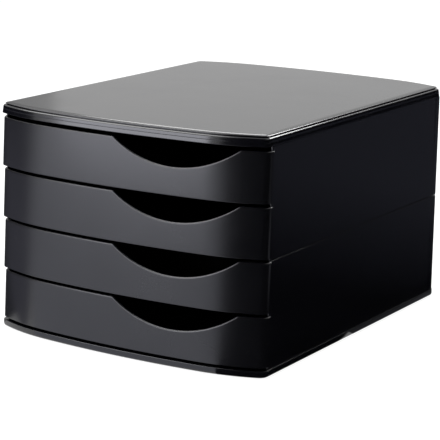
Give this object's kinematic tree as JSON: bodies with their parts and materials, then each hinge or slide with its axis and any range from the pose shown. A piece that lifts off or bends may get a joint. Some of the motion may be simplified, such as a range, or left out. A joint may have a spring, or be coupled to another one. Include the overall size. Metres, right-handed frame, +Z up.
{
  "type": "desk drawer cabinet",
  "caption": "Closed desk cabinet for letter trays: stacked drawers with bowed, leaning fronts and off-centre finger scoops, under a bowed lid.",
  "frame": {"origin": "centre of the plan, on the surface that the feet stand on", "axes": "+X to the right seen from the front, -Y out of the drawer fronts, +Z up"},
  "size_m": [0.285, 0.37, 0.2113],
  "materials": {
    "casing_plastic": "black moulded polystyrene, satin gloss",
    "front_plastic": "black moulded polystyrene, satin",
    "tray_plastic": "black moulded polystyrene, satin",
    "foot_rubber": "black matt rubber"
  },
  "bodies": {
    "casing": {"base": "casing_plastic", "lower_right_side": "casing_plastic", "lower_left_side": "casing_plastic", "lower_back": "casing_plastic", "upper_right_side": "casing_plastic", "upper_left_side": "casing_plastic", "upper_back": "casing_plastic", "middle_shelf": "casing_plastic", "lid": "casing_plastic", "front_left_foot": "foot_rubber", "front_right_foot": "foot_rubber", "back_left_foot": "foot_rubber", "back_right_foot": "foot_rubber"},
    "drawer_1": {"drawer_1_front": "front_plastic", "drawer_1_tray": "tray_plastic"},
    "drawer_2": {"drawer_2_front": "front_plastic", "drawer_2_tray": "tray_plastic"},
    "drawer_3": {"drawer_3_front": "front_plastic", "drawer_3_tray": "tray_plastic"},
    "drawer_4": {"drawer_4_front": "front_plastic", "drawer_4_tray": "tray_plastic"}
  },
  "joints": [
    {"name": "drawer_1_slide", "type": "slide", "parent": "casing", "child": "drawer_1", "axis": [0, -1, 0], "range_m": [0, 0.2131]},
    {"name": "drawer_2_slide", "type": "slide", "parent": "casing", "child": "drawer_2", "axis": [0, -1, 0], "range_m": [0, 0.2131]},
    {"name": "drawer_3_slide", "type": "slide", "parent": "casing", "child": "drawer_3", "axis": [0, -1, 0], "range_m": [0, 0.2131]},
    {"name": "drawer_4_slide", "type": "slide", "parent": "casing", "child": "drawer_4", "axis": [0, -1, 0], "range_m": [0, 0.2131]}
  ]
}
